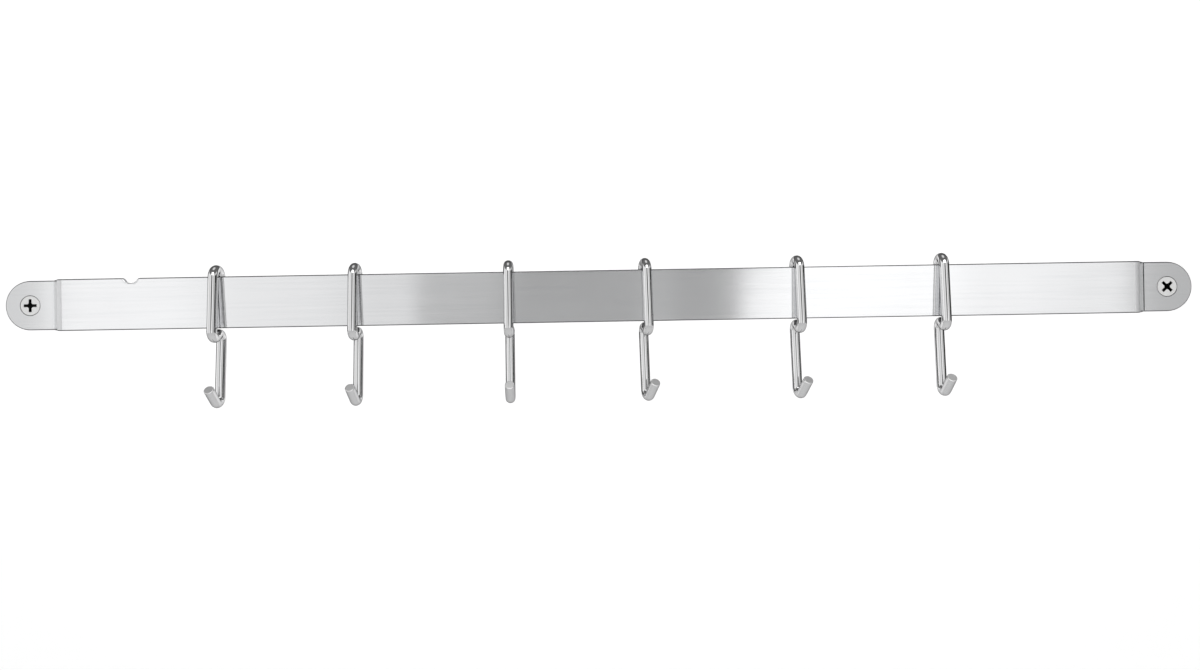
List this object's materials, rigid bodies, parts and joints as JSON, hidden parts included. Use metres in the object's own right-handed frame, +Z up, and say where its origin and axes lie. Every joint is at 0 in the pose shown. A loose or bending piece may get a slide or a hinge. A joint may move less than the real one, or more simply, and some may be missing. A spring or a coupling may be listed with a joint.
{
  "type": "kitchen utensil rail",
  "caption": "Wall-hung kitchen utensil rail: a flat steel bar with folded-back rounded ends, wire S hooks that slide along it, and countersunk wall screws.",
  "frame": {"origin": "on the wall plane, midway between the two wall screws", "axes": "+X along the rail to the viewer's right, +Y into the wall, +Z up"},
  "size_m": [0.6096, 0.068, 0.07],
  "materials": {
    "rail_steel": "bright stainless with a fine lengthwise brushing",
    "hook_wire": "polished stainless wire, ends satin",
    "screw_steel": "satin plated steel"
  },
  "bodies": {
    "rail_body": {"rail": "rail_steel", "mounting_screws": "screw_steel"},
    "hook_1_body": {"hook_1": "hook_wire"},
    "hook_2_body": {"hook_2": "hook_wire"},
    "hook_3_body": {"hook_3": "hook_wire"},
    "hook_4_body": {"hook_4": "hook_wire"},
    "hook_5_body": {"hook_5": "hook_wire"},
    "hook_6_body": {"hook_6": "hook_wire"}
  },
  "joints": [
    {"name": "hook_1_slide", "type": "slide", "parent": "rail_body", "child": "hook_1_body", "axis": [1, 0, 0], "range_m": [-0.0706, 0.0309]},
    {"name": "hook_2_slide", "type": "slide", "parent": "rail_body", "child": "hook_2_body", "axis": [1, 0, 0], "range_m": [-0.0309, 0.0348]},
    {"name": "hook_3_slide", "type": "slide", "parent": "rail_body", "child": "hook_3_body", "axis": [1, 0, 0], "range_m": [-0.0348, 0.0299]},
    {"name": "hook_4_slide", "type": "slide", "parent": "rail_body", "child": "hook_4_body", "axis": [1, 0, 0], "range_m": [-0.0299, 0.0326]},
    {"name": "hook_5_slide", "type": "slide", "parent": "rail_body", "child": "hook_5_body", "axis": [1, 0, 0], "range_m": [-0.0326, 0.0315]},
    {"name": "hook_6_slide", "type": "slide", "parent": "rail_body", "child": "hook_6_body", "axis": [1, 0, 0], "range_m": [-0.0315, 0.0896]}
  ]
}
